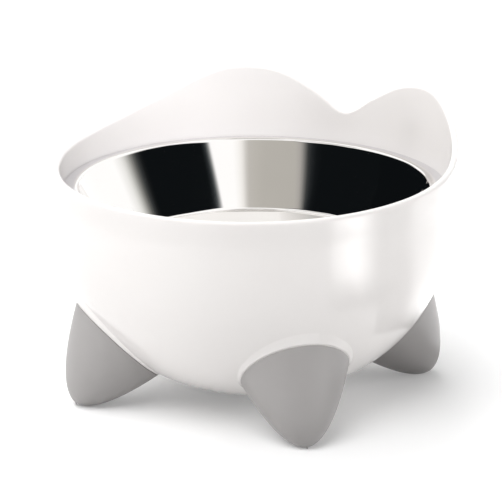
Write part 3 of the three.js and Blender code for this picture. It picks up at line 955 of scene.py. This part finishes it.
BLACK, DARK, WHITE = "#0D1012", "#000000", "#FFFFFF"
ROOM = 1.15
SOFT_LIGHT = 0.15
FLOOR_REACH = 6
FLOOR_LIFT = 0.232
LAMP_SOFTNESS = math.radians(40)
BOUNCE_SIZE = 30 * MM
BOUNCE_PLACE = 30 * MM
BOUNCE_HEIGHT = 101 * MM
bent_card("black_flag_right",
          [(1, 0.30, 58, 148), (1, 1.085, 58, 148), (1, 1.195, 64.6, 148), (1, 1.335, 73, 142),
           (1, 1.78, 104, 130)],
          shares(58, 148, (58, WHITE), (60.7, "#FBFBFB"), (63, "#ACADAD"), (64.2, "#808282"),
                 (66.4, "#3E4244"), (69, "#202426"), (72, BLACK), (122, BLACK), (124.5, "#181A1B"),
                 (127.5, "#343637"), (130, "#585957"), (132.5, "#848481"), (135, "#ACACA9"),
                 (138, "#D4D4D1"), (141, "#EAEAE8"), (148, WHITE)), ROOM)
bent_card("grey_card_front", [(1.01, 0.60, -15, 48), (1.01, 1.40, -15, 48), (1.01, 2.20, -15, 48)],
          shares(-15, 48, (-15, "#B2AFA9"), (20, "#B4B1AB"), (28, "#B8B5AF"), (34, "#BCB9B4"),
                 (36.5, "#CBC9C5"), (40, "#EAE8E5"), (43, "#F6F5F3"), (48, WHITE)), ROOM)
bent_card("black_flag_left",
          [(1, 0.02, -60, -13), (1, 1.01, -60, -13), (1, 1.15, -55.4, -8.4), (1, 1.36, -48.5, -1.5),
           (1, 1.44, -45.9, 1.1)],
          shares(-60, -13, (-60, BLACK), (-31, BLACK), (-27, "#121517"), (-24, "#212426"),
                 (-21.5, "#383A3B"), (-19.7, "#686866"), (-18, "#8E8C89"), (-16, "#A8A5A1"),
                 (-13, "#B2AFA9")), ROOM)
bent_card("black_flag_far_left",
          [(1.005, 0.02, -118, -55), (1.005, 0.62, -118, -55), (1.005, 0.80, -100, -55),
           (1.005, 1.00, -80, -55), (1.005, 1.16, -62, -55)],
          shares(-118, -55, (-118, WHITE), (-111, "#8A8C8C"), (-105, BLACK), (-55, BLACK)), ROOM)
bent_card("grey_card_left",
          [(1.01, 1.42, -102, -25), (1.01, 2.60, -102, -25), (1.01, 4.60, -102, -25)],
          shares(-102, -25, (-102, WHITE), (-92, "#E6E5E4"), (-82, "#C6C5C4"), (-74, "#CACAC9"),
                 (-60, "#DEDDDC"), (-44, "#EFEEED"), (-25, WHITE)), ROOM)
# Small cards over the dish's edge: its two ends show them and not the housing's wall behind them
small_card("black_flag_small", (34.47, 6.08), (-0.174, 0.985),
           [(64, 44.5, 48.5), (72, 42.4, 50.6), (80, 44.6, 55.8), (84, 47, 60), (86.5, 48.2, 60.5),
            (88, 49, 58.6), (94, 52.6, 55)], BLACK)
small_card("white_card_small", (0, 3), (1, 0),
           [(64, -61.5, -54.5), (73, -65.2, -54.5), (79, -69, -57), (85, -71, -60),
            (93, -72, -63.5)], WHITE, ROOM)
# A grey card overhead, that the dish's bend shows in its middle. It lies along the view: the sine
# and cosine are of 28 degrees, within a degree of the view's own
SINE, COSINE = 0.469, 0.883
studio_card("grey_card_overhead",
            [[(SINE * far + COSINE * side, -COSINE * far + SINE * side, height)
              for side in (-0.45, 0.45)]
             for far, height in [(0.2, 2.7), (-0.4, 2.7), (-1.0, 2.3), (-1.3, 1.2)]],
            [(0, WHITE), (0.2, "#BEBCB9"), (0.8, "#BEBCB9"), (1, WHITE)], ROOM)
# Bright cards lying at the right, which the housing's side shows as a tall soft highlight
bent_card("highlight_card", [(0.13, 0.001, 64, 100), (0.30, 0.001, 64, 100), (0.45, 0.001, 64, 100)],
          shares(64, 100, (64, DARK), (69, "#D7D7D7"), (74, "#D7D7D7"), (78, WHITE),
                 (80, WHITE), (88, "#BBBBBB"), (91, "#848484"), (100, DARK)), 7.0, 0.35)
bent_card("edge_card", [(0.085, 0.001, 92, 200), (0.27, 0.001, 92, 200), (0.45, 0.001, 92, 200)],
          shares(92, 200, (92, DARK), (99, "#7A7A7A"), (113, "#9A9A9A"), (122, WHITE),
                 (180, WHITE), (200, DARK)), 2.2, 0.1)


def seen_directly(tree):
    """1 for rays of the camera and of reflections, 0 for the light that falls on things."""
    ray = node(tree, "ShaderNodeLightPath")
    mirrored = node(tree, "ShaderNodeMath", {
        0: ray.outputs["Is Glossy Ray"], 1: ray.outputs["Is Transmission Ray"]}, operation="MAXIMUM")
    return node(tree, "ShaderNodeMath", {
        0: ray.outputs["Is Camera Ray"], 1: mirrored.outputs["Value"]},
        operation="MAXIMUM").outputs["Value"]


def pale_floor():
    """A pale floor that keeps the shadow, lifted to white where it is seen."""
    mesh = bpy.data.meshes.new("floor")
    mesh.from_pydata([(x * FLOOR_REACH, y * FLOOR_REACH, 0)
                      for x, y in ((-1, -1), (1, -1), (1, 1), (-1, 1))], [], [(0, 1, 2, 3)])
    made, tree = bare_material("pale_studio_floor")
    paint = node(tree, "ShaderNodeBsdfDiffuse", {"Color": colour("#E6E6E6")})
    lift = node(tree, "ShaderNodeEmission", {
        "Color": colour(WHITE), "Strength": ranged(tree, seen_directly(tree), 0.0, FLOOR_LIFT)})
    both = node(tree, "ShaderNodeAddShader", {0: paint.outputs["BSDF"], 1: lift.outputs["Emission"]})
    node(tree, "ShaderNodeOutputMaterial", {"Surface": both.outputs["Shader"]})
    mesh.materials.append(made)
    floor = new_object("floor", mesh)


def surroundings():
    """White where it is looked at or reflected, and a plain soft light for everything else."""
    world = bpy.data.worlds.new("studio_room")
    world.use_nodes = True
    tree = world.node_tree
    back = tree.nodes["Background"]
    back.inputs["Color"].default_value = colour(WHITE)
    tree.links.new(ranged(tree, seen_directly(tree), SOFT_LIGHT, ROOM), back.inputs["Strength"])
    bpy.context.scene.world = world


def soft_sun(name, strength, azimuth, elevation):
    """A soft distant lamp; azimuth is measured as the bowl's angles are."""
    data = bpy.data.lights.new(name, "SUN")
    data.energy, data.angle = strength, LAMP_SOFTNESS
    lamp = new_object(name, data)
    lamp.rotation_euler = (math.pi / 2 - math.radians(elevation), 0, math.radians(azimuth))
    lamp.visible_glossy = False


def dish_bounce_lamp(name, power, azimuth):
    """Part of the light that the polished dish throws up on the housing's inner wall."""
    data = bpy.data.lights.new(name, "AREA")
    data.shape, data.size, data.energy = "DISK", BOUNCE_SIZE, power
    data.color = colour("#FBFBFE")[:3]
    lamp = new_object(name, data)
    lamp.location = around(BOUNCE_PLACE, math.radians(azimuth), BOUNCE_HEIGHT)
    lamp.rotation_euler = (math.pi / 2, 0, math.radians(azimuth + 180))
    lamp.visible_glossy = lamp.visible_camera = False


def camera():
    """Camera at the photograph's viewing angle and distance."""
    a, e = VIEW_AZIMUTH, VIEW_ELEVATION
    right = np.array([math.cos(a), math.sin(a), 0])
    up = np.array([-math.sin(a) * math.sin(e), math.cos(a) * math.sin(e), math.cos(e)])
    back = np.array([math.sin(a) * math.cos(e), -math.cos(a) * math.cos(e), math.sin(e)])
    target = (VIEW_RIGHT * right + VIEW_UP * up) * MM - np.array([0, 0, VIEW_SINK]) * MM
    data = bpy.data.cameras.new("camera")
    data.lens, data.sensor_width, data.sensor_fit = LENS, 36, "HORIZONTAL"
    data.clip_start, data.clip_end = 0.1, 50
    made = new_object("camera", data)
    matrix = np.eye(4)
    matrix[:3, 0], matrix[:3, 1], matrix[:3, 2] = right, up, back
    matrix[:3, 3] = target + back * VIEW_DISTANCE
    made.matrix_world = Matrix(matrix.tolist())
    bpy.context.scene.camera = made


pale_floor()
surroundings()
for lamp, strength, azimuth, elevation in (
        ("key_lamp", 1.95, 0, 60), ("top_left_lamp", 1.46, -120, 60),
        ("side_left_lamp", 0.45, -60, 60), ("low_left_lamp", 1.05, -60, 6),
        ("low_right_lamp", 1.4, 120, 6), ("low_back_lamp", 0.7, -150, 6)):
    soft_sun(lamp, strength, azimuth, elevation)
dish_bounce_lamp("dish_bounce_lamp_left", 0.009, -107)
dish_bounce_lamp("dish_bounce_lamp_back", 0.0078, -140)
camera()
bpy.context.scene.view_settings.view_transform = "Standard"
